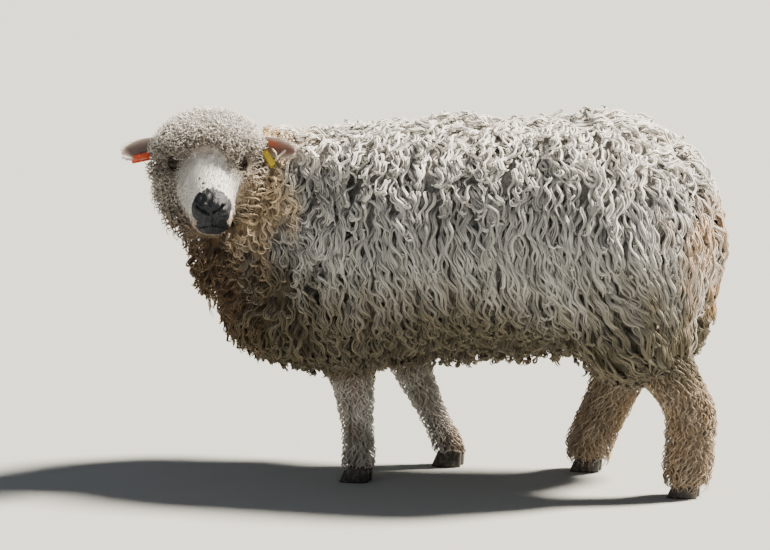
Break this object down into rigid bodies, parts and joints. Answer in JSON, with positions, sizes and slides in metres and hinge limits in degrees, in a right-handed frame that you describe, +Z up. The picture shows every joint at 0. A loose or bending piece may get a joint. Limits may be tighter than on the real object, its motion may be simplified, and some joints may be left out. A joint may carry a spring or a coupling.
{
  "type": "greyface dartmoor sheep, life-size still model",
  "caption": "Life-size still model of a long-woolled sheep in mid stride, head turned to its left, with ear tags and flat soles.",
  "frame": {"origin": "on the floor, under the middle of the box round the whole sheep", "axes": "+X towards the tail and -X towards the chest, +Y the sheep's right side, +Z up"},
  "size_m": [1.1177, 0.5252, 0.6983],
  "materials": {
    "fleece": "matte",
    "head_wool": "matte",
    "leg_wool": "matte",
    "eye": "wet gloss",
    "ear_skin": "matte",
    "tag_yellow": "satin",
    "tag_orange": "satin",
    "hoof": "satin"
  },
  "bodies": {
    "root": {"head": "head_wool", "neck": "fleece", "chest": "fleece", "barrel": "fleece", "rump": "fleece", "tail": "fleece", "eye_left": "eye", "eye_right": "eye", "ear_left": "ear_skin", "ear_right": "ear_skin", "ear_tag_left": "tag_yellow", "ear_tag_right": "tag_orange", "foreleg_left": "leg_wool", "foreleg_right": "leg_wool", "hindleg_left": "leg_wool", "hindleg_right": "leg_wool", "claw_foreleg_left_inner": "hoof", "claw_foreleg_left_outer": "hoof", "claw_foreleg_right_inner": "hoof", "claw_foreleg_right_outer": "hoof", "claw_hindleg_left_inner": "hoof", "claw_hindleg_left_outer": "hoof", "claw_hindleg_right_inner": "hoof", "claw_hindleg_right_outer": "hoof"}
  },
  "joints": []
}
